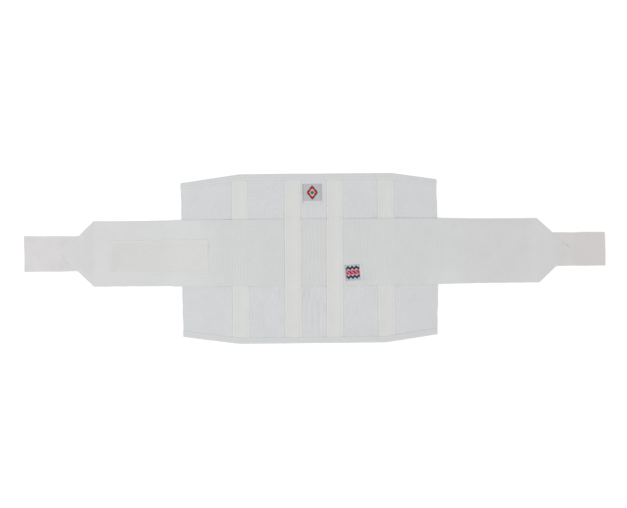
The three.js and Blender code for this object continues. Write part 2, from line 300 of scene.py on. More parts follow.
# Names of Blender's nodes that the cloths share
WAVE = "ShaderNodeTexWave"
NOISE = "ShaderNodeTexNoise"
MATH = "ShaderNodeMath"
ATTRIBUTE = "ShaderNodeAttribute"


def linear(code):
    """An sRGB hex colour as linear red, green and blue."""
    parts = [int(code[i:i + 2], 16) / 255 for i in (0, 2, 4)]
    return tuple(p / 12.92 if p <= 0.04045 else ((p + 0.055) / 1.055) ** 2.4 for p in parts)


def length(name, description, default, least):
    """A size that a user can change, given in millimetres."""
    return bpy.props.FloatProperty(
        name=name, description=description, default=default * MM, min=least * MM, unit="LENGTH")


def tint(name, description, code):
    """A colour that a user can change, given as sRGB hex."""
    return bpy.props.FloatVectorProperty(
        name=name, description=description, default=linear(code), subtype="COLOR", size=3, min=0, max=1)


class BeltSizes(bpy.types.PropertyGroup):
    """Sizes of the belt's cloth that can be changed without moving a piece."""

    panel_rib: length("Panel rib", "Distance between the upright ribs of the back panel", 6.0, 2)
    panel_rib_height: length("Panel rib height", "How far the ribs of the back panel stand up", 0.03, 0)
    stitch: length("Stitch", "Length from one stitch to the next", 3.0, 1.5)
    thread: length("Thread", "Thickness of the sewing thread", 0.5, 0.1)
    hook_pitch: length("Hook pitch", "Distance between the hooks of a hook tab", 1.9, 1)
    loop_pitch: length("Loop pitch", "Distance between the loops of the loop patch", 1.05, 0.8)


class BeltColours(bpy.types.PropertyGroup):
    """Colours of the belt's cloths and thread."""

    panel: tint("Panel elastic", "Knitted elastic of the back panel", "D1D3D4")
    wing: tint("Wing twill", "Stretch twill of the wings", "D1D3D4")
    binding: tint("Binding tape", "Folded tape along the hems", "D1D3D4")
    casing: tint("Casing tape", "Cotton tape of the stay casings", "D7D7D5")
    band: tint("Band elastic", "Woven elastic of the band", "D0D2D2")
    faded: tint("Faded elastic", "The band's elastic at its two ends, which has lost its tint", "D1D1D1")
    # A lighter tint of the band, painted where its slopes, crests and folded rims catch the light: painted
    # highlight
    painted_highlight: tint("Slack elastic", "The band's elastic where nothing stretches it", "D5D7D7")
    # The same painted highlight, on the band's faded ends
    pale: tint("Slack faded elastic", "Slack elastic that has lost its tint", "D5D5D5")
    hooks: tint("Hook face", "Nylon hooks and the ground that they stand on", "D8D6D6")
    backing: tint("Hook tape backing", "Smooth back of the hook tabs", "D3D0CF")
    # A tint for the tabs near the points: painted shade on the left tab's hooks, painted light on the right
    # tab's back
    sewn: tint("Sewn hook tape", "Hook tape where it is sewn under a point", "D6D4D3")
    pile: tint("Loop pile", "Nylon pile of the loop patch", "DEDEDC")
    # A darker tint of the loop patch, painted on its bare rim and towards its outer end: painted shade
    painted_shade: tint("Worn loop pile", "The loop patch at its bare rim and where its pile is worn", "D7D7D5")
    # The thread's grey, darker than the cloth, paints the shade of the stitch holes along each row
    thread: tint("Thread", "Sewing thread", "C2C3C1")
    label: tint("Label satin", "Ground of the woven labels", "B7B9BA")


def sizes():
    return bpy.context.scene.belt_sizes


def colours():
    return bpy.context.scene.belt_colours


# Shapes along and across the belt, for arrays of places in millimetres

def along(table, at, column=1):
    """Value of a table's column at a place, on straight lines between its rows."""
    return np.interp(at, [row[0] for row in table], [row[column] for row in table])


def soft_step(at, start, end):
    """0 before start, 1 after end, and an eased rise between them."""
    t = np.clip((at - start) / (end - start), 0, 1)
    return t * t * (3 - 2 * t)


def eased(table, at):
    """Value of a table at a place, with a soft bend at each row."""
    places, values = np.array(table).T
    i = np.clip(np.searchsorted(places, at) - 1, 0, len(places) - 2)
    return values[i] + (values[i + 1] - values[i]) * soft_step(at, places[i], places[i + 1])


def wander(x, y, size, seed):
    """An uneven wave between about -1 and 1 whose hills are some size apart, the same on every run."""
    turn = 2 * math.pi / size
    a = np.sin(turn * (0.93 * x + 0.41 * y) + 1.7 * seed)
    b = np.sin(turn * (0.57 * y - 0.71 * x) * 1.31 + 2.9 * seed)
    c = np.sin(turn * (0.35 * x - 0.98 * y) * 0.77 + 4.3 * seed)
    return (a + b + c) / 2.2


def dent(distance, depth):
    """Depth of the hollow that a row of stitches draws, some distance from the row."""
    return depth * np.exp(-(distance / DENT_WIDTH) ** 2)


def upper(x):
    return along(UPPER_EDGE, x)


def lower(x):
    return along(LOWER_EDGE, x)


def panel_under(x, y):
    """Height of the panel's under face: on the floor, and lifted by the binding at both hems."""
    inside = np.minimum(upper(x) - y, y - lower(x))
    return HEM_LIFT * (1 - soft_step(inside, HEM_WIDTH, HEM_WIDTH + HEM_RAMP))


def panel_over(x, y):
    return panel_under(x, y) + PANEL_CLOTH


def band_level(x):
    """Height of the middle of the band's cloth."""
    return eased(BAND_LEVELS, x)


def rib_height(x):
    return along(BAND_RIBS, x, 2)


def band_over(x):
    """Height of the tops of the band's ribs."""
    return band_level(x) + BAND_CLOTH / 2 + 2 * rib_height(x)


def rib_count(x):
    """How many ribs lie between the band's left end and x, where the distance between ribs changes."""
    steps = np.linspace(BAND_RIBS[0][0], BAND_RIBS[-1][0], RIB_PLACES)
    gained = np.diff(steps) / along(BAND_RIBS, (steps[1:] + steps[:-1]) / 2)
    return np.interp(x, steps, np.concatenate(([0], np.cumsum(gained))))


def selvage(x, y):
    """0 along the band's edges and 1 inside them."""
    return soft_step(along(BAND_HALVES, x) - np.abs(y - BAND_MIDDLE), 0.5, 4)


def rib_wave(x, y):
    """The band's upright ribs from -1 to 1, which waver a little and flatten at the two selvages."""
    phase = rib_count(x) + 0.26 * wander(x, y, 46, 3) + 0.12 * wander(x, y, 13, 5)
    uneven = 0.7 + 0.24 * wander(x, y, 19, 8)
    return selvage(x, y) * uneven * np.cos(2 * math.pi * phase)


def point_lift(x, y):
    """How far one edge of each point stands open near its tip."""
    return sum(height * np.exp(-((x - at_x) / reach_x) ** 2 - ((y - at_y) / reach_y) ** 2)
               for at_x, at_y, reach_x, reach_y, height in POINT_LIFTS)


def casing_middle(casing, y):
    at_upper, at_lower = CASINGS[casing][:2]
    return at_lower + (at_upper - at_lower) * (y - PANEL_BOTTOM) / (PANEL_TOP - PANEL_BOTTOM)


def casing_distance(x, y):
    """Distance from the middle line of the nearest casing."""
    return np.min([np.abs(x - casing_middle(casing, y)) for casing in CASINGS], axis=0)


def casing_under(casing, across, y):
    """Height of a casing's under face: sewn down at both edges, with a low tunnel between the stitches."""
    over_band = CASINGS[casing][2]
    x = casing_middle(casing, y) + across
    beyond = np.abs(y - BAND_MIDDLE) - BAND_HALF
    base = panel_over(x, y) + SEWN
    flat = CASING_WIDTH / 2 - CASING_MARGIN
    round_top = np.where(np.abs(across) < flat, (1 + np.cos(math.pi * across / flat)) / 2, 0)
    end = np.minimum(y - CASING_ENDS[0], CASING_ENDS[1] - y)
    crown = CASING_CROWN * round_top * soft_step(end, CASING_TUCK, CASING_TUCK + CASING_TAPER)
    if over_band:
        top = band_level(x) + BAND_CLOTH / 2 + 2 * rib_height(x) * selvage(x, y)
        base = base + (top + SEWN - base) * (1 - soft_step(beyond, SEWN, SEWN + CASING_STEP))
    else:
        crown = crown * soft_step(beyond, 1, 16)
    return base + crown * (1 + 0.08 * wander(x, y, 38, 2)) - dent(np.abs(across) - CASING_ROW, TAPE_DENT)


def hem_rise(x, y):
    """How far a binding climbs where it covers the end of a casing."""
    clear = CASING_WIDTH / 2 + 0.3
    return (CASING_CLOTH + SEWN) * (1 - soft_step(casing_distance(x, y), clear, clear + 5))


def binding_over(edge, x, inside):
    """Height of a binding's upper face, dented along each row of stitches and puckered between."""
    dents = sum(dent(inside - row, TAPE_DENT) for row in HEM_ROWS)
    pucker = 0.06 * wander(x, 3 * inside, 11, 6) * soft_step(inside, 0.5, 3)
    pressed = 0.22 * soft_step(inside, HEM_WIDTH - 3, HEM_WIDTH)
    return BINDING_TOP + hem_rise(x, along(edge, x)) - dents - pressed + pucker


def patch_middle(x):
    return PATCH_MIDDLE + PATCH_SLOPE * (x - (PATCH[0] + PATCH[1]) / 2)


def patch_over(x):
    return band_over(x) + SEWN + PATCH_CLOTH


def on_label(node, across, up):
    """Place on the belt of a spot on a label, measured from the label's middle."""
    x, y, _, _, turn = LABELS[node]
    c, s = math.cos(math.radians(turn)), math.sin(math.radians(turn))
    return x + across * c - up * s, y + across * s + up * c


def label_base(node, x, y):
    """Height of the cloth that a label is sewn on, with the space under the label."""
    return (panel_over(x, y) if node == "label_upper" else band_over(x)) + 2 * SEWN


# Modelling

def pick(*pieces):
    """Select these pieces alone, with the first one active."""
    bpy.ops.object.select_all(action="DESELECT")
    for piece in pieces:
        piece.select_set(True)
    bpy.context.view_layer.objects.active = pieces[0]


def start_from(add_primitive, **settings):
    """Add a primitive with nothing else selected, and put its place and turn in its mesh."""
    bpy.ops.object.select_all(action="DESELECT")
    add_primitive(**settings)
    bpy.ops.object.transform_apply(location=True, rotation=True, scale=False)
    return bpy.context.object


@contextmanager
def all_selected():
    """Edit the active piece with all of its mesh selected."""
    bpy.ops.object.mode_set(mode="EDIT")
    bpy.ops.mesh.select_all(action="SELECT")
    yield
    bpy.ops.object.mode_set(mode="OBJECT")


def read_corners(piece):
    corners = np.empty(len(piece.data.vertices) * 3)
    piece.data.vertices.foreach_get("co", corners)
    return corners.reshape(-1, 3)


def write_corners(piece, corners):
    piece.data.vertices.foreach_set("co", corners.ravel())
    piece.data.update()


def lay_sheet(name, columns, rows, place):
    """Add a flat grid of cloth and lay each corner where place(u, v) says, with u and v from 0 to 1."""
    sheet = start_from(bpy.ops.mesh.primitive_grid_add, x_subdivisions=columns, y_subdivisions=rows, size=1,
                       location=(0.5, 0.5, 0))
    sheet.name = sheet.data.name = name
    corners = read_corners(sheet)
    spots = place(corners[:, 0], corners[:, 1])
    write_corners(sheet, np.stack(np.broadcast_arrays(*spots), axis=1) * MM)
    return sheet


def apply_modifier(piece, kind, **settings):
    """Add a modifier, give it its settings and apply it."""
    pick(piece)
    bpy.ops.object.modifier_add(type=kind)
    modifier = piece.modifiers[-1]
    for key, value in settings.items():
        setattr(modifier, key, value)
    bpy.ops.object.modifier_apply(modifier=modifier.name)


def thicken(sheet, thickness, soft_edge, **settings):
    """Give a sheet its thickness about the laid surface, and round its cut edges."""
    apply_modifier(sheet, "SOLIDIFY", thickness=thickness * MM, offset=0, **settings)
    apply_modifier(sheet, "BEVEL", width=soft_edge * MM, segments=2, limit_method="ANGLE",
                   angle_limit=math.radians(55))
    bpy.ops.object.shade_smooth_by_angle(angle=math.radians(50))


def mark(piece, name, values):
    """Keep a value for each corner of a piece, for its material to read."""
    attribute = piece.data.attributes.new(name, "FLOAT", "POINT")
    attribute.data.foreach_set("value", np.clip(values, 0, 1))


def join(pieces, name):
    """Join several pieces into one and weld the corners that meet."""
    pick(*pieces)
    bpy.ops.object.join()
    pieces[0].name = pieces[0].data.name = name
    with all_selected():
        bpy.ops.mesh.remove_doubles(threshold=0.01 * MM)
    return pieces[0]


def scatter(name, seed_piece, spots, headings, leans):
    """One mesh of many copies of a small piece, each at its spot, heading and lean."""
    corners = read_corners(seed_piece)
    c, s = np.cos(headings)[:, None], np.sin(headings)[:, None]
    ct, st = np.cos(leans)[:, None], np.sin(leans)[:, None]
    x = corners[:, 0] * ct - corners[:, 2] * st
    z = corners[:, 0] * st + corners[:, 2] * ct
    y = np.broadcast_to(corners[:, 1], x.shape)
    copies = np.stack((x * c - y * s, x * s + y * c, z), axis=2) + np.asarray(spots)[:, None, :] * MM
    faces = [tuple(face.vertices) for face in seed_piece.data.polygons]
    step = len(corners)
    mesh = bpy.data.meshes.new(name)
    mesh.from_pydata(copies.reshape(-1, 3).tolist(), [],
                     [tuple(v + i * step for v in face) for i in range(len(spots)) for face in faces])
    piece = bpy.data.objects.new(name, mesh)
    bpy.context.collection.objects.link(piece)
    bpy.data.objects.remove(seed_piece)
    pick(piece)
    bpy.ops.object.shade_smooth()
    return piece


def one_stitch():
    """A short length of thread that dips into the cloth at both ends."""
    run, thread = 0.6 * sizes().stitch, sizes().thread
    stitch = start_from(bpy.ops.mesh.primitive_uv_sphere_add, segments=6, ring_count=6, radius=0.5,
                        rotation=(0, math.pi / 2, 0))
    with all_selected():
        bpy.ops.transform.resize(value=(run, thread, thread))
    corners = read_corners(stitch)
    corners[:, 2] -= 0.5 * thread * (2 * corners[:, 0] / run) ** 2
    write_corners(stitch, corners)
    return stitch


def sew(name, rows, height):
    """Rows of stitches, each a list of (x, y) corners. height(x, y) gives the cloth under the thread."""
    step = sizes().stitch / MM
    spots, headings, leans = [], [], []
    for row in rows:
        row = np.array(row, float)
        runs = np.linalg.norm(np.diff(row, axis=0), axis=1)
        travelled = np.concatenate(([0], np.cumsum(runs)))
        count = max(1, int(travelled[-1] / step))
        ends = np.linspace(0, travelled[-1], count + 1)
        x, y = (np.interp(ends, travelled, row[:, i]) for i in (0, 1))
        z = height(x, y)
        spots.append(np.stack([(a[1:] + a[:-1]) / 2 for a in (x, y, z)], axis=1))
        headings.append(np.arctan2(np.diff(y), np.diff(x)))
        leans.append(np.arctan2(np.diff(z), np.hypot(np.diff(x), np.diff(y))))
    return scatter(name, one_stitch(), *(np.concatenate(part) for part in (spots, headings, leans)))


def dress(piece, slot, material, *nodes):
    """Give a piece its material, its place on the belt, and the plain nodes that it stands for."""
    piece.data.materials.append(material)
    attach(piece, "root")
    if nodes:
        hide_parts(*nodes)


# Materials

def add_node(tree, kind, settings=None, inputs=None):
    """Add a node with its settings, and set each input to a value or link it to an output."""
    node = tree.nodes.new(kind)
    for key, value in (settings or {}).items():
        setattr(node, key, value)
    for key, value in (inputs or {}).items():
        if isinstance(value, bpy.types.NodeSocket):
            tree.links.new(value, node.inputs[key])
        else:
            node.inputs[key].default_value = value
    return node


def waves(spacing):
    """Scale of a Wave texture whose lines are some millimetres apart."""
    return 2 * math.pi / 20 / (spacing * MM)


def grains(size):
    """Scale of a Noise texture whose spots are some millimetres across."""
    return 1 / (size * MM)


def shades(tree, tone, colour, contrast):
    """A colour that runs from a darker to a lighter shade as the tone goes from 0 to 1."""
    ramp = add_node(tree, "ShaderNodeValToRGB", None, {"Fac": tone})
    for element, strength in zip(ramp.color_ramp.elements, (1 - contrast, 1 + contrast)):
        element.color = (*[min(1, c * strength) for c in colour], 1)
    return ramp.outputs["Color"]


def mixed(tree, first, second, share):
    """share of the first pattern with the rest of the second, both from 0 to 1."""
    part = add_node(tree, MATH, {"operation": "MULTIPLY"}, {0: second, 1: 1 - share}).outputs[0]
    return add_node(tree, MATH, {"operation": "MULTIPLY_ADD"}, {0: first, 1: share, 2: part}).outputs[0]


def woven(first, second, share):
    """A pattern of two textures, each a node's kind, settings and inputs. share is the first one's part."""
    def pattern(tree, place):
        textures = [add_node(tree, kind, settings, {"Vector": place, **inputs}).outputs["Fac"]
                    for kind, settings, inputs in (first, second)]
        return mixed(tree, *textures, share)
    return pattern


def cloth(name, colour, pattern, depth, contrast, roughness, turn=0, others=()):
    """A cloth material. pattern(tree, place) gives its threads from 0 to 1, which shade and raise it.
    others name attributes of the piece, each with the colour that the cloth takes where it is 1."""
    material = bpy.data.materials.get(name)
    if material:
        return material
    material = bpy.data.materials.new(name)
    material.use_nodes = True
    tree = material.node_tree
    tree.nodes.clear()
    spot = add_node(tree, "ShaderNodeTexCoord").outputs["Object"]
    place = add_node(tree, "ShaderNodeMapping", None, {"Vector": spot, "Rotation": (0, 0, turn)}).outputs[0]
    threads = pattern(tree, place)
    # Soft patches about 24 mm across, which shift the tone by up to a quarter each way
    mottle = add_node(tree, NOISE, None,
                      {"Vector": spot, "Scale": grains(24), "Detail": 3.0, "Roughness": 0.6}).outputs["Fac"]
    shade = add_node(tree, MATH, {"operation": "MULTIPLY_ADD"}, {0: mottle, 1: 0.5, 2: -0.25}).outputs[0]
    tone = add_node(tree, MATH, {"operation": "ADD", "use_clamp": True}, {0: threads, 1: shade}).outputs[0]
    dyed = shades(tree, tone, colour, contrast)
    for attribute, changed in others:
        share = add_node(tree, ATTRIBUTE, {"attribute_name": attribute}).outputs["Fac"]
        dyed = add_node(tree, "ShaderNodeMixRGB", None, {
            "Fac": share, "Color1": dyed, "Color2": shades(tree, tone, changed, contrast)}).outputs["Color"]
    bump = add_node(tree, "ShaderNodeBump", None,
                    {"Height": threads, "Distance": depth * MM, "Strength": 1.0})
    shader = add_node(tree, "ShaderNodeBsdfPrincipled", None, {
        "Base Color": dyed, "Normal": bump.outputs["Normal"], "Roughness": roughness,
        "IOR": 1.45, "Specular IOR Level": 0.2, "Sheen Weight": 0.05, "Sheen Roughness": 0.5})
    add_node(tree, "ShaderNodeOutputMaterial", None, {"Surface": shader.outputs[0]})
    return material


def panel_knit():
    """Knitted cotton and rubber elastic: soft upright wales and a fine grain, dull, slightly blue white."""
    wales = (WAVE, {"bands_direction": "X"},
             {"Scale": waves(3.1), "Distortion": 2.5, "Detail": 2.0, "Detail Scale": 0.4})
    grain = (NOISE, None, {"Scale": grains(2.2), "Detail": 2.0})
    return cloth("knitted cotton elastic", colours().panel, woven(wales, grain, 0.2),
                 depth=0.14, contrast=0.11, roughness=0.9)


def wing_twill():
    """Polycotton stretch twill: diagonal lines, really under a millimetre apart, drawn coarser to show."""
    lines = (WAVE, {"bands_direction": "X"},
             {"Scale": waves(3.1), "Distortion": 1.2, "Detail": 2.0, "Detail Scale": 1.4})
    grain = (NOISE, None, {"Scale": grains(1.8), "Detail": 2.0})
    return cloth("stretch twill", colours().wing, woven(lines, grain, 0.18),
                 depth=0.16, contrast=0.1, roughness=0.85, turn=math.radians(45))


def binding_tape():
    """Woven elastic tape: small cross ribs and a dull finish. The ribs are drawn coarser, to show."""
    ribs = (WAVE, {"bands_direction": "X"}, {"Scale": waves(3.4), "Distortion": 1.5, "Detail": 1.0})
    grain = (NOISE, None, {"Scale": grains(2.0), "Detail": 2.0})
    return cloth("woven elastic tape", colours().binding, woven(ribs, grain, 0.4),
                 depth=0.09, contrast=0.05, roughness=0.9)


def casing_tape():
    """Twilled cotton tape: a smooth, close cream-white weave, little relief, painted highlight on the
    selvages.
    """
    weave = (WAVE, {"bands_direction": "DIAGONAL"}, {"Scale": waves(0.9), "Distortion": 1.0, "Detail": 1.0})
    grain = (NOISE, None, {"Scale": grains(1.8), "Detail": 2.0})

    def pattern(tree, place):
        body = woven(weave, grain, 0.3)(tree, place)
        # The selvage attribute lightens the tape's edges: a painted highlight
        edge = add_node(tree, ATTRIBUTE, {"attribute_name": "selvage"}).outputs["Fac"]
        return add_node(tree, MATH, {"operation": "MULTIPLY_ADD"}, {0: edge, 1: 0.5, 2: body}).outputs[0]
    return cloth("twilled cotton tape", colours().casing, pattern, depth=0.06, contrast=0.06, roughness=0.9)


def band_elastic():
    """Woven polyester elastic: weft threads cross upright rubber core yarns; painted shade darkens the rib
    valleys.
    """
    weft = (WAVE, {"bands_direction": "Y"}, {"Scale": waves(0.8), "Distortion": 1.5, "Detail": 1.0})
    grain = (NOISE, None, {"Scale": grains(2.0), "Detail": 2.0})

    def pattern(tree, place):
        # Painted shade that follows the ribs: darker in their valleys, lighter on their crests
        rib_shade = add_node(tree, ATTRIBUTE, {"attribute_name": "ribs"}).outputs["Fac"]
        return mixed(tree, rib_shade, woven(weft, grain, 0.4)(tree, place), 0.38)
    # Of the three tints, the second and third paint light onto the band; the first is the elastic's own
    # lost tint
    return cloth("woven polyester elastic", colours().band, pattern,
                 depth=0.1, contrast=0.085, roughness=0.85,
                 others=[(state, getattr(colours(), state)) for state in ("faded", "painted_highlight", "pale")])


def hook_nylon(name, colour, contrast):
    """Woven nylon hook tape: a close, slightly cloudy ground with a plastic sheen, faintly pink."""
    ground = (NOISE, None, {"Scale": grains(16), "Detail": 3.0})
    grain = (NOISE, None, {"Scale": grains(1.6), "Detail": 1.0})
    # The sewn tint paints shade on the left tab's hooks and light on the right tab's back, near the points
    return cloth(name, colour, woven(ground, grain, 0.7),
                 depth=0.08, contrast=contrast, roughness=0.55, others=[("sewn", colours().sewn)])


def loop_nylon():
    """Brushed nylon loops: a matted, cream-white pile that scatters the light, inside a bare woven rim."""
    tufts = (NOISE, None, {"Scale": grains(5), "Detail": 4.0})
    fibres = (NOISE, None, {"Scale": grains(0.7), "Detail": 2.0})
    # The loop patch's darker tint is painted shade on its bare rim and on the outer end of the pile
    return cloth("brushed nylon loop", colours().pile, woven(tufts, fibres, 0.3),
                 depth=0.1, contrast=0.02, roughness=0.95, others=[("painted_shade", colours().painted_shade)])


def sewing_thread(name, colour):
    """Twisted polyester thread, sunk in its own dents: a row of small marks on the white cloth."""
    def pattern(tree, place):
        return add_node(tree, WAVE, {"bands_direction": "DIAGONAL"},
                        {"Vector": place, "Scale": waves(0.5), "Distortion": 0.5}).outputs["Fac"]
    return cloth(name, colour, pattern, depth=0.02, contrast=0.03, roughness=0.6)


def label_satin(name, colour):
    """Woven satin: floats all run one way, so the label is smooth with a soft gloss."""
    floats = (WAVE, {"bands_direction": "Y"}, {"Scale": waves(0.9), "Distortion": 0.6})
    streaks = (WAVE, {"bands_direction": "X"},
               {"Scale": waves(4), "Distortion": 3.0, "Detail": 1.0, "Detail Scale": 0.3})
    return cloth(name, colour, woven(floats, streaks, 0.4), depth=0.02, contrast=0.045, roughness=0.45)


# Operators, one for each piece or group of like pieces

class BELT_OT_back_panel(bpy.types.Operator):
    """Lay the knitted centre of the back panel, with its upright ribs"""

    bl_idname = "belt.back_panel"
    bl_label = "Back Panel"

    def gathered(self, x, y):
        """How far the knit is drawn into folds: most between the inner casings, less beside the others."""
        clear = casing_distance(x, y) - CASING_WIDTH / 2
        beside = BESIDE_SHARE * soft_step(clear, 0.5, 4) * (1 - soft_step(clear, 6, 20))
        between = soft_step(clear, 0.5, 7)
        below = (1 - soft_step(y, *FADE_BELOW)) * (HEM_SHARE + (1 - HEM_SHARE) * soft_step(y, *FADE_HEM))
        above = ABOVE_SHARE * soft_step(y, *FADE_ABOVE[0]) * (1 - soft_step(y, *FADE_ABOVE[1]))
        return (below + above) * np.where(np.abs(x - BETWEEN_MIDDLE) < BETWEEN_HALF, between, beside)

    def execute(self, context):
        pitch, rise = sizes().panel_rib / MM, sizes().panel_rib_height / MM

        def place(u, v):
            x = LEFT_SEAM + SEAM_GAP + (RIGHT_SEAM - LEFT_SEAM - 2 * SEAM_GAP) * u
            low, high = lower(x) + EDGE_INSET, upper(x) - EDGE_INSET
            y = low + (high - low) * v
            side = pitch * (0.3 * wander(x, y, 47, 1) + 0.16 * wander(x, y, 15, 4))
            ribs = (0.75 + 0.5 * wander(x, y, 23, 7)) * np.cos(2 * math.pi * (x + side) / pitch)
            drift = 0.9 * wander(x, 0.4 * y, 47, 1) + 0.5 * wander(x, 0.4 * y, 15, 4)
            turn = np.cos(2 * math.pi * (x - FOLD_START + drift) / FOLD_PITCH)
            rows = 1 + turn * np.clip((y - FOLD_LINE) / 3, -1, 1)
            folds = (1 + 0.4 * wander(x, 0.5 * y, 34, 3)) * rows
            height = panel_under(x, y) + PANEL_CLOTH / 2 + 0.03 * wander(x, y, 70, 9)
            return x, y, height + rise * ribs + FOLD_HEIGHT * folds * self.gathered(x, y)

        sheet = lay_sheet("back_panel_knit", 240, 80, place)
        thicken(sheet, PANEL_CLOTH - 2 * RELIEF, soft_edge=0.35)
        dress(sheet, "panel_elastic", panel_knit(), "back_panel")
        return {"FINISHED"}


class BELT_OT_wings(bpy.types.Operator):
    """Lay the two twill wings at the sides of the back panel"""

    bl_idname = "belt.wings"
    bl_label = "Wings"

    def execute(self, context):
        for node, side, seam in (("wing_left", LEFT_SIDE, LEFT_SEAM - SEAM_GAP),
                                 ("wing_right", RIGHT_SIDE, RIGHT_SEAM + SEAM_GAP)):
            def place(u, v):
                share = 1 - u if side is LEFT_SIDE else u
                guess = seam + (side[2][1] - seam) * share
                y = lower(guess) + EDGE_INSET + (upper(guess) - lower(guess) - 2 * EDGE_INSET) * v
                x = seam + (along(side, y) + 0.25 * wander(0 * y, y, 19, 2) - seam) * share
                wave = 0.06 * wander(x, y, 44, 3) + 0.02 * wander(x, y, 15, 6)
                return x, y, panel_under(x, y) + PANEL_CLOTH / 2 + wave

            sheet = lay_sheet(node + "_twill", 44, 110, place)
            thicken(sheet, PANEL_CLOTH - 2 * RELIEF, soft_edge=0.35)
            dress(sheet, "wing_twill", wing_twill(), node)
        return {"FINISHED"}


class BELT_OT_bindings(bpy.types.Operator):
    """Fold the two binding tapes over the upper and lower edges of the panel"""

    bl_idname = "belt.bindings"
    bl_label = "Bindings"

    def execute(self, context):
        radius = (BINDING_TOP - BINDING_CLOTH) / 2
        leg = HEM_WIDTH - BINDING_TOP / 2
        turn = math.pi * radius
        for node, edge, way in (("binding_upper", UPPER_EDGE, 1), ("binding_lower", LOWER_EDGE, -1)):
            low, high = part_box(node)
            left, right = low.x / MM, high.x / MM

            def place(u, v):
                x = left + (right - left) * (u if way > 0 else 1 - u)
                travel = v * (2 * leg + turn)
                angle = math.pi * np.clip((travel - leg) / turn, 0, 1)
                on_leg = np.clip(leg - travel, 0, leg) + np.clip(travel - leg - turn, 0, leg)
                inside = on_leg + BINDING_TOP / 2 - radius * np.sin(angle)
                top = binding_over(edge, x, inside) - BINDING_CLOTH / 2
                bottom = BINDING_CLOTH / 2
                height = bottom + (top - bottom) * (1 - np.cos(angle)) / 2
                sway = 0.12 * wander(x, 0 * x, 27, 4)
                return x, along(edge, x) - way * (inside - sway), height

            sheet = lay_sheet(node + "_tape", 256, 32, place)
            thicken(sheet, BINDING_CLOTH, soft_edge=0.15)
            dress(sheet, "binding_tape", binding_tape(), node)
        return {"FINISHED"}


class BELT_OT_casings(bpy.types.Operator):
    """Lay the four stay casings from hem to hem"""

    bl_idname = "belt.casings"
    bl_label = "Casings"

    def execute(self, context):
        low, high = CASING_ENDS
        for node in CASINGS:
            def place(u, v):
                y = low + (high - low) * v
                across = (u - 0.5) * along(CASING_WIDTHS, y)
                sway = 0.18 * wander(across, y, 34, len(node))
                uneven = 0.02 * wander(3 * across, y, 21, 5)
                height = casing_under(node, across, y) + CASING_CLOTH / 2 + uneven
                return casing_middle(node, y) + across + sway, y, height

            sheet = lay_sheet(node + "_tape", 40, 120, place)
            x, y, _ = (read_corners(sheet) / MM).T
            rim = along(CASING_WIDTHS, y) / 2 - np.abs(x - casing_middle(node, y))
            # Painted highlight along both edges of the tape
            mark(sheet, "selvage", 1 - soft_step(rim, CASING_HIGHLIGHT / 2, CASING_HIGHLIGHT))
            thicken(sheet, CASING_CLOTH, soft_edge=0.15)
            dress(sheet, "casing_tape", casing_tape(), node)
        return {"FINISHED"}


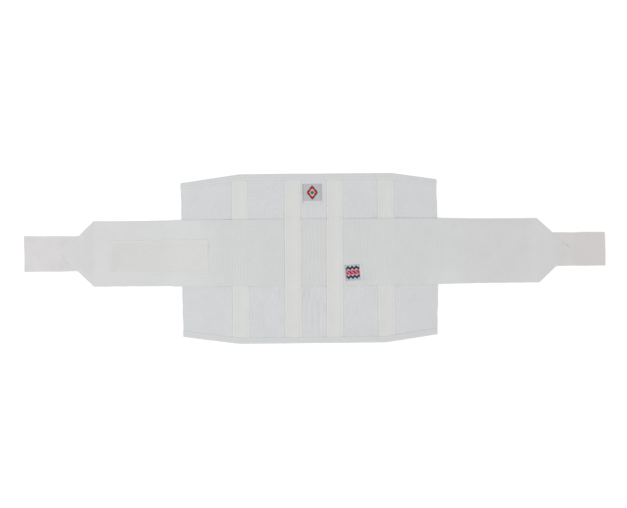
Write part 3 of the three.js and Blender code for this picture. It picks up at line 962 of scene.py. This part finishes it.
class BELT_OT_band(bpy.types.Operator):
    """Lay the elastic band across the panel and fold the corners of both its ends under into points"""

    bl_idname = "belt.band"
    bl_label = "Side Pull Band"

    def surface(self, x, y):
        """Height of the cloth's middle, with its ribs and the edge that stands open on the right wing."""
        sag = 0.10 * wander(x, y, 58, 2) * soft_step(np.abs(x), *ARMS)
        on_wing = soft_step(x, *OPEN_WING[0]) * (1 - soft_step(x, *OPEN_WING[1]))
        open_edge = OPEN_HEIGHT * on_wing * soft_step(y - BAND_MIDDLE, *OPEN_EDGE)
        ribs = rib_height(x) * (selvage(x, y) + rib_wave(x, y))
        return band_level(x) + ribs + np.maximum(sag, -0.02) + open_edge

    def strip(self, ends, inset):
        """The run from point to point, with two selvages beyond the rows that fold at the points."""
        shares = np.concatenate(([-1], ACROSS, [1]))

        def place(u, v):
            x = ends[0] + (ends[1] - ends[0]) * u
            half = along(BAND_HALVES, x)
            row = np.rint(v * (len(shares) - 1)).astype(int)
            edge = (row == 0) | (row == len(shares) - 1)
            y = BAND_MIDDLE + shares[row] * np.where(edge, half, half - inset)
            y = y + np.where(edge, shares[row] * 0.2 * wander(x, y, 24, 7), 0)
            return x, y, self.surface(x, y)

        return lay_sheet("band_strip", 1100, len(shares) - 1, place)

    def point(self, upper_base, lower_base, tip, hang, inset):
        """One end, whose corners turn under round a tight fold along both slanting edges."""
        radius = FOLD_SPACE / 2
        flap = np.linspace(0, 1, FLAP_ROWS + 1)[:-1]
        bend = np.linspace(0, math.pi, BEND_ROWS + 1)[1:]
        rim = np.ones(BEND_ROWS)
        split = FLAP_SPLIT * (1 - flap)
        out = radius * np.sin(bend)
        down = radius * np.cos(bend) - radius
        reach = np.concatenate((-flap, -rim, ACROSS, rim, flap[::-1]))
        proud = np.concatenate((-split, -out[::-1], 0 * ACROSS, out, split[::-1]))
        drop = np.concatenate((0 * flap - 2 * radius, down[::-1], 0 * ACROSS, down, 0 * flap - 2 * radius))

        def place(u, v):
            share = u if tip > upper_base else 1 - u
            row = np.rint(v * (len(reach) - 1)).astype(int)
            x = upper_base + (tip - upper_base) * share
            base = np.where(reach[row] > 0, upper_base, lower_base)
            slant = np.clip((x - base) / (tip - base), 0, 1)
            half = along(BAND_HALVES, upper_base) * (1 - slant) + POINT_BLUNT * slant
            y = BAND_MIDDLE + reach[row] * (half - inset) + proud[row] - hang * slant ** 2
            return x, y, self.surface(x, y) + drop[row] + point_lift(x, y)

        return lay_sheet("band_point", 50, len(reach) - 1, place)

    def fold_highlight(self, x, y):
        """Painted highlight where the cloth lies double along the slanting edges of the points."""
        tone = 0 * x
        for (base, _, tip, _), (above, below) in FOLD_HIGHLIGHTS.items():
            slant = np.clip((x - base) / (tip - base), 0, 1)
            half = along(BAND_HALVES, base) * (1 - slant) + POINT_BLUNT * slant
            rim = 1 - soft_step(half - np.abs(y - BAND_MIDDLE), *FOLD_RIM)
            tone = tone + np.where(y > BAND_MIDDLE, above, below) * rim * soft_step(slant, 0, RIM_START)
        return tone

    def mark_tones(self, band):
        """Mark the band's ribs, how faded it is, and the painted highlight on it."""
        x, y, _ = (read_corners(band) / MM).T
        # Painted shade of the ribs: the valleys are made darker and the crests lighter
        mark(band, "ribs", 0.5 + 0.5 * rib_wave(x, y) * rib_height(x) / RIB_HEIGHT)
        # Painted highlight: the lower edge, the slopes and the folded rims of the points are made lighter
        lower_highlight = soft_step(BAND_MIDDLE - y, *LOWER_PART) * along(LOWER_HIGHLIGHT, x)
        painted_highlight = np.minimum(eased(BAND_HIGHLIGHT, x) + lower_highlight + self.fold_highlight(x, y), 1)
        faded = along(BAND_FADED, x)
        mark(band, "faded", faded)
        mark(band, "painted_highlight", painted_highlight * (1 - faded))
        mark(band, "pale", painted_highlight * faded)

    def execute(self, context):
        inset = (FOLD_SPACE + POINT_CLOTH) / math.sqrt(2)
        left, right = LEFT_POINT[0], RIGHT_POINT[0]
        strips = [self.strip((left, right), inset), self.point(*LEFT_POINT, inset),
                  self.point(*RIGHT_POINT, inset)]
        band = join(strips, "side_pull_band_elastic")
        self.mark_tones(band)
        x = read_corners(band)[:, 0] / MM
        at_left = 1 - soft_step(x, left, left + POINT_PRESS)
        at_right = soft_step(x, right - POINT_PRESS, right)
        pressed = np.maximum(at_left, at_right)
        group = band.vertex_groups.new(name="thickness")
        for i, weight in enumerate(1 + (POINT_CLOTH / BAND_CLOTH - 1) * pressed):
            group.add([i], float(weight), "REPLACE")
        thicken(band, BAND_CLOTH, soft_edge=0.3, vertex_group="thickness")
        dress(band, "band_elastic", band_elastic(), "side_pull_band")
        return {"FINISHED"}


class BELT_OT_hook_tabs(bpy.types.Operator):
    """Lay the two hook tabs under the band's points and set their fields of hooks"""

    bl_idname = "belt.hook_tabs"
    bl_label = "Hook Tabs"

    def one_hook(self, face_up):
        """A nylon hook: a stem whose top is spun over in an arc, standing up or hanging down."""
        hook = start_from(bpy.ops.mesh.primitive_cylinder_add, vertices=5, radius=HOOK_RADIUS * MM,
                          depth=HOOK_STEM * MM, location=(0, 0, HOOK_STEM * MM / 2))
        with all_selected():
            bpy.ops.mesh.select_mode(type="FACE")
            bpy.ops.mesh.select_all(action="DESELECT")
        max(hook.data.polygons, key=lambda face: face.center.z).select = True
        bpy.ops.object.mode_set(mode="EDIT")
        bpy.ops.mesh.spin(steps=4, angle=HOOK_TURN, axis=(0, 1, 0),
                          center=(HOOK_BEND * MM, 0, HOOK_STEM * MM))
        bpy.ops.object.mode_set(mode="OBJECT")
        with all_selected():
            bpy.ops.mesh.normals_make_consistent(inside=False)
            if not face_up:
                bpy.ops.transform.rotate(value=math.pi, orient_axis="X", center_override=(0, 0, 0))
        return hook

    def field(self, tab, face_up):
        """Places of the hooks: staggered rows that stop at the point, or where the tab comes down."""
        free, point, sewn, middle, half = tab
        pitch = sizes().hook_pitch / MM
        way = 1 if sewn > free else -1
        at_end, at_lower, at_upper, at_rim = HOOK_MARGINS
        ends = sorted((free + way * at_end, point + way * HOOK_REACH))
        x, y = np.meshgrid(np.arange(*ends, pitch),
                           np.arange(middle - half + at_lower, middle + half - at_upper, pitch))
        y = y + 0.5 * pitch * (np.arange(x.shape[1]) % 2)
        x, y = x.ravel(), y.ravel()
        if face_up:
            covered = np.abs(y - BAND_MIDDLE) < way * (x - point) + HOOK_GAP
        else:
            covered = way * (x - point) > -SLOPE_GAP
        bare = (np.abs(y - middle) < half - at_rim) & ~covered
        return x[bare], y[bare]

    def execute(self, context):
        tabs = (
            ("hook_tab_left", LEFT_TAB, True, hook_nylon("hook tape nylon", colours().hooks, 0.08)),
            ("hook_tab_right", RIGHT_TAB, False, hook_nylon("hook tape backing", colours().backing, 0.03)),
        )
        for node, tab, face_up, material in tabs:
            free, point, sewn, middle, half = tab
            way = 1 if sewn > free else -1
            left, right = sorted((free, sewn))
            sewn_down = abs(point - free)

            def under(x, y):
                """The tab with hooks below stands on them, and comes down to the floor under the point."""
                out = way * (x - free)
                wave = 0.10 * (1 + wander(x, y, 37, 6)) * (1 - soft_step(out, *TAB_FREE))
                if face_up:
                    return wave
                return HOOK_HEIGHT * (1 - soft_step(out, sewn_down - TAB_SLOPE, sewn_down)) + wave

            def place(u, v):
                x = left + (right - left) * u
                y = middle + (half + 0.3 * wander(x, 0 * x, 41, 3)) * (2 * v - 1)
                x = x + 0.4 * wander(0 * y, y, 60, 5) * (1 - soft_step(way * (x - free), 0, 25))
                return x, y, under(x, y) + TAB_CLOTH / 2

            def mark_painted_tone(piece):
                """Mark the painted tone of a tab's sewn end: shade on the left tab, light on the right one.
                """
                out = way * (read_corners(piece)[:, 0] / MM - free)
                tone = soft_step(out, sewn_down - TAB_SLOPE, sewn_down + TONE_REACH)
                mark(piece, "sewn", TAB_PAINTED_TONE * tone)

            sheet = lay_sheet(node + "_tape", 66, 36, place)
            mark_painted_tone(sheet)
            thicken(sheet, TAB_CLOTH, soft_edge=0.2)
            dress(sheet, "hook_tape", material, node)
            x, y = self.field(tab, face_up)
            pitch = sizes().hook_pitch / MM
            swing = 0.5 * wander(x, y, 9, 4) + np.where(np.rint(y / pitch) % 2 == 0, 0, math.pi)
            root = under(x, y) + (TAB_CLOTH if face_up else 0)
            spots = np.stack((x, y, root), axis=1)
            hooks = scatter(node + "_hooks", self.one_hook(face_up), spots, swing, 0 * x)
            mark_painted_tone(hooks)
            dress(hooks, "hook_tape", material)
        return {"FINISHED"}


class BELT_OT_loop_patch(bpy.types.Operator):
    """Sew the loop patch on the left arm and raise its pile"""

    bl_idname = "belt.loop_patch"
    bl_label = "Loop Patch"

    def one_loop(self):
        """A low arch of fibre that leans over, as brushing leaves it."""
        loop = start_from(bpy.ops.mesh.primitive_torus_add, major_segments=8, minor_segments=3,
                          major_radius=LOOP_ARCH * MM, minor_radius=LOOP_FIBRE * MM,
                          rotation=(math.pi / 2, 0, 0))
        with all_selected():
            bpy.ops.mesh.bisect(plane_co=(0, 0, LOOP_CUT * MM), plane_no=(0, 0, 1), use_fill=True,
                                clear_inner=True)
            bpy.ops.mesh.select_all(action="SELECT")
            bpy.ops.transform.resize(value=(1, 1, LOOP_FLATTENED))
            bpy.ops.transform.rotate(value=LOOP_LEAN, orient_axis="X", center_override=(0, 0, 0))
        return loop

    def execute(self, context):
        left, right = PATCH

        def place(u, v):
            x = left + (right - left) * u
            y = patch_middle(x) + (PATCH_HALF + 0.2 * wander(x, 0 * x, 25, 2)) * (2 * v - 1)
            x = x + 0.2 * wander(0 * y, y, 22, 3) * (2 * u - 1)
            rim = np.minimum(np.minimum(u, 1 - u) * (right - left), np.minimum(v, 1 - v) * 2 * PATCH_HALF)
            hollow = dent(rim - PATCH_ROW, PATCH_DENT)
            return x, y, patch_over(x) - PATCH_CLOTH / 2 - hollow + 0.02 * wander(x, y, 13, 8)

        sheet = lay_sheet("loop_patch_backing", 148, 52, place)
        x, y, _ = (read_corners(sheet) / MM).T
        inside = np.minimum(np.minimum(x - left, right - x), PATCH_HALF - np.abs(y - patch_middle(x)))
        # Painted shade: the bare rim and the outer end of the patch are made darker
        mark(sheet, "painted_shade", along(PATCH_SHADE, x) + 1 - soft_step(inside, *PATCH_RIM))
        thicken(sheet, PATCH_CLOTH, soft_edge=0.08)
        dress(sheet, "loop_pile", loop_nylon(), "loop_patch")
        pitch = sizes().loop_pitch / MM
        first, last = PILE_MARGINS
        x, y = np.meshgrid(np.arange(left + first, right - last, pitch),
                           np.arange(-PATCH_HALF + first, PATCH_HALF - last, pitch))
        x, y = x.ravel(), y.ravel()
        x, y = x + 0.2 * wander(x, y, 5.3, 1), y + 0.2 * wander(x, y, 4.7, 2) + patch_middle(x)
        spots = np.stack((x, y, patch_over(x) - LOOP_SINK), axis=1)
        pile = scatter("loop_patch_pile", self.one_loop(), spots, 9 * wander(x, y, 2.3, 3), 0 * x)
        # The same painted shade on the outer end of the pile
        mark(pile, "painted_shade", along(PATCH_SHADE, read_corners(pile)[:, 0] / MM))
        dress(pile, "loop_pile", loop_nylon())
        return {"FINISHED"}


class BELT_OT_labels(bpy.types.Operator):
    """Sew on the two woven labels, each with a plain geometric pattern"""

    bl_idname = "belt.labels"
    bl_label = "Labels"

    def execute(self, context):
        names = ["ground", *LABEL_THREADS]
        ground = label_satin("grey label satin", colours().label)
        threads = [label_satin(name, linear(code)) for name, code in LABEL_THREADS.values()]
        for node, (_, _, width, height, _) in LABELS.items():
            def place(u, v):
                across, up = (u - 0.5) * width, (v - 0.5) * height
                x, y = on_label(node, across, up)
                fold = soft_step(np.abs(across), *(width / 2 - inside for inside in LABEL_FOLD))
                curl = np.maximum(0.12 * wander(x, y, 19, 4) * (1 - fold), -0.02)
                return x, y, label_base(node, x, y) + LABEL_CLOTH / 2 + LABEL_RISE * fold + curl

            columns, rows = int(width), int(height)
            sheet = lay_sheet(node + "_cloth", columns, rows, place)
            dress(sheet, "label_cloth", ground, node)
            for thread in threads:
                sheet.data.materials.append(thread)
            chart = self.lozenge if node == "label_upper" else self.stripes
            for face in sheet.data.polygons:
                u, v = np.mean([sheet.data.uv_layers[0].data[i].uv for i in face.loop_indices], axis=0)
                face.material_index = names.index(chart(int(u * columns), int(v * rows)))
            thicken(sheet, LABEL_CLOTH, soft_edge=0.1)
        return {"FINISHED"}

    def lozenge(self, column, row):
        """A light strip along the lower edge, and a red lozenge edged with navy round a green middle."""
        if row < LOZENGE_STRIP:
            return "light"
        aside, up = abs(column - LOZENGE_MIDDLE[0]), abs(row - LOZENGE_MIDDLE[1])
        ring = aside / LOZENGE_HALF[0] + up / LOZENGE_HALF[1]
        for limit, thread in LOZENGE_RINGS:
            if ring <= limit:
                return thread
        return "ground"

    def stripes(self, column, row):
        """Slanting crimson and pink stripes between two navy zigzags, and a light strip at the right."""
        column, row = column - STRIPES_START[0], row - STRIPES_START[1]
        if column > STRIPES_SIZE:
            return "light"
        if not (0 <= column < STRIPES_SIZE and 0 <= row < STRIPES_SIZE):
            return "ground"
        if row in BAR_ROWS:
            return "pink" if (column + row) % REPEAT < PINK_CELLS else "crimson"
        zigzag = abs(column % REPEAT - REPEAT // 2)
        return "navy" if zigzag <= min(row, STRIPES_SIZE - 1 - row) < zigzag + NAVY_CELLS else "ground"


class BELT_OT_stitches(bpy.types.Operator):
    """Sew the hems, casings, points, patch and labels down with rows of stitches"""

    bl_idname = "belt.stitches"
    bl_label = "Stitches"

    def execute(self, context):
        # The grey thread paints the shade of the stitch holes along the hems and casings
        self.grey = sewing_thread("grey polyester thread", colours().thread)
        self.white = sewing_thread("white polyester thread", linear("CFCFCD"))
        self.dark = sewing_thread("dark polyester thread", linear("5A5D61"))
        self.sew_hems()
        self.sew_casings()
        self.sew_points()
        self.sew_patch()
        self.sew_labels()
        return {"FINISHED"}

    def sew_hems(self):
        hems = (("upper_hem_stitches", UPPER_EDGE, 1), ("lower_hem_stitches", LOWER_EDGE, -1))
        for name, edge, way in hems:
            x = np.linspace(edge[0][0] + HEM_ROW_ENDS[0], edge[-1][0] - HEM_ROW_ENDS[1], 60)
            rows = [np.stack((x, along(edge, x) - way * inside), axis=1) for inside in HEM_ROWS]

            def height(x, y):
                return binding_over(edge, x, np.abs(along(edge, x) - y))

            dress(sew(name, rows, height), "binding_tape", self.grey)

    def sew_casings(self):
        low, high = PANEL_BOTTOM + HEM_WIDTH + 1, PANEL_TOP - HEM_WIDTH - 1
        for node, (_, _, over_band) in CASINGS.items():
            spans = [(low, high)]
            if not over_band:
                spans = [(low, BAND_MIDDLE - BAND_HALF - 1), (BAND_MIDDLE + BAND_HALF + 1, high)]
            rows = []
            for start, end in spans:
                y = np.linspace(start, end, 80)
                middle = casing_middle(node, y)
                rows += [np.stack((middle + side * CASING_ROW, y), axis=1) for side in (-1, 1)]

            def height(x, y):
                return casing_under(node, x - casing_middle(node, y), y) + CASING_CLOTH

            dress(sew(node + "_stitches", rows, height), "casing_tape", self.grey)

    def sew_points(self):
        rows = []
        for upper_base, lower_base, tip, hang in (LEFT_POINT, RIGHT_POINT):
            way = 1 if tip > upper_base else -1
            apex = tip - way * POINT_APEX
            for base, side in ((upper_base, 1), (lower_base, -1)):
                start = base - way * POINT_START
                outer = (start, BAND_MIDDLE + side * abs(apex - start))
                rows.append([outer, (apex, BAND_MIDDLE - APEX_HANG * hang)])
            seam = lower_base + way * POINT_SEAM
            reach = abs(apex - seam) - 1
            rows.append([(seam, BAND_MIDDLE - reach), (seam, BAND_MIDDLE + reach)])

        def height(x, y):
            return band_level(x) + POINT_CLOTH / 2 + point_lift(x, y)

        dress(sew("point_stitches", rows, height), "band_elastic", self.white)

    def sew_patch(self):
        left, right, half = PATCH[0] + PATCH_ROW, PATCH[1] - PATCH_ROW, PATCH_HALF - PATCH_ROW
        corners = [(left, -half), (right, -half), (right, half), (left, half), (left, -half)]
        rows = []
        for (x0, y0), (x1, y1) in zip(corners, corners[1:]):
            x = np.linspace(x0, x1, 40)
            rows.append(np.stack((x, np.linspace(y0, y1, 40) + patch_middle(x)), axis=1))

        def height(x, y):
            return patch_over(x) - PATCH_DENT

        dress(sew("patch_stitches", rows, height), "loop_pile", self.white)

    def sew_labels(self):
        for node, (_, _, width, label_height, _) in LABELS.items():
            up = np.array([-label_height / 2 + 1, label_height / 2 - 1])
            aside = width / 2 - LABEL_ROW
            rows = [np.stack(on_label(node, side * aside, up), axis=1) for side in (-1, 1)]

            def height(x, y):
                return label_base(node, x, y) + LABEL_CLOTH + LABEL_RISE

            thread = self.dark if node == "label_upper" else self.white
            dress(sew(node + "_stitches", rows, height), "label_cloth", thread)


class BELT_OT_stage(bpy.types.Operator):
    """Set the pale floor, the soft lights and the camera that looks straight down"""

    bl_idname = "belt.stage"
    bl_label = "Stage"

    def execute(self, context):
        floor = start_from(bpy.ops.mesh.primitive_plane_add, size=FLOOR_SIZE,
                           location=(0, 0, -FLOOR_DROP * MM))
        floor.name = "studio_floor"
        floor.data.materials.append(self.floor_paper())
        self.light("SUN", "key_light", KEY_PLACE, KEY_POWER).angle = KEY_SPREAD
        self.light("AREA", "fill_light", FILL_PLACE, FILL_POWER).size = FILL_SIZE
        world = bpy.data.worlds.new("white_studio")
        world.use_nodes = True
        walls = world.node_tree.nodes["Background"]
        walls.inputs["Color"].default_value = (1, 1, 1, 1)
        walls.inputs["Strength"].default_value = WALL_LIGHT
        context.scene.world = world
        context.scene.view_settings.view_transform = "Standard"
        self.camera(context)
        return {"FINISHED"}

    def floor_paper(self):
        """Matt white paper on a light table, a little lit from below."""
        material = bpy.data.materials.new("white paper")
        material.use_nodes = True
        inputs = material.node_tree.nodes["Principled BSDF"].inputs
        inputs["Base Color"].default_value = (PAPER_WHITE, PAPER_WHITE, PAPER_WHITE, 1)
        inputs["Roughness"].default_value = 1.0
        inputs["Specular IOR Level"].default_value = 0.0
        inputs["Emission Color"].default_value = (1, 1, 1, 1)
        inputs["Emission Strength"].default_value = PAPER_GLOW
        return material

    def light(self, kind, name, place, power):
        bpy.ops.object.light_add(type=kind, location=place)
        lamp = bpy.context.object
        lamp.name = name
        lamp.data.energy = power
        lamp.rotation_euler = (-lamp.location).to_track_quat("-Z", "Y").to_euler()
        return lamp.data

    def camera(self, context):
        height = PHOTO_WIDTH * PHOTO_MM_PER_PIXEL * MM * LENS / SENSOR
        x, y = (value * MM for value in PHOTO_MIDDLE)
        bpy.ops.object.camera_add(location=(x, y, height), rotation=(0, 0, PHOTO_TURN))
        camera = context.object
        camera.data.lens = LENS
        camera.data.sensor_width = SENSOR
        context.scene.camera = camera


class BELT_PT_sidebar(bpy.types.Panel):
    """Lists the belt's pieces in the order in which they are laid"""

    bl_label = "Back Support Belt"
    bl_idname = "BELT_PT_sidebar"
    bl_space_type = "VIEW_3D"
    bl_region_type = "UI"
    bl_category = "Belt"

    def draw(self, context):
        for group in (context.scene.belt_sizes, context.scene.belt_colours):
            box = self.layout.box()
            for name in group.__annotations__:
                box.prop(group, name)
        for operator in OPERATORS:
            self.layout.operator(operator.bl_idname)


OPERATORS = (
    BELT_OT_back_panel, BELT_OT_wings, BELT_OT_bindings, BELT_OT_casings, BELT_OT_band,
    BELT_OT_hook_tabs, BELT_OT_loop_patch, BELT_OT_labels, BELT_OT_stitches, BELT_OT_stage,
)
CLASSES = (BeltSizes, BeltColours, *OPERATORS, BELT_PT_sidebar)


def register():
    for cls in CLASSES:
        bpy.utils.register_class(cls)
    bpy.types.Scene.belt_sizes = bpy.props.PointerProperty(type=BeltSizes)
    bpy.types.Scene.belt_colours = bpy.props.PointerProperty(type=BeltColours)


def unregister():
    del bpy.types.Scene.belt_colours
    del bpy.types.Scene.belt_sizes
    for cls in reversed(CLASSES):
        bpy.utils.unregister_class(cls)


def main():
    register()
    bpy.ops.belt.back_panel()
    bpy.ops.belt.wings()
    bpy.ops.belt.bindings()
    bpy.ops.belt.casings()
    bpy.ops.belt.band()
    bpy.ops.belt.hook_tabs()
    bpy.ops.belt.loop_patch()
    bpy.ops.belt.labels()
    bpy.ops.belt.stitches()
    bpy.ops.belt.stage()


if __name__ == "__main__":
    main()
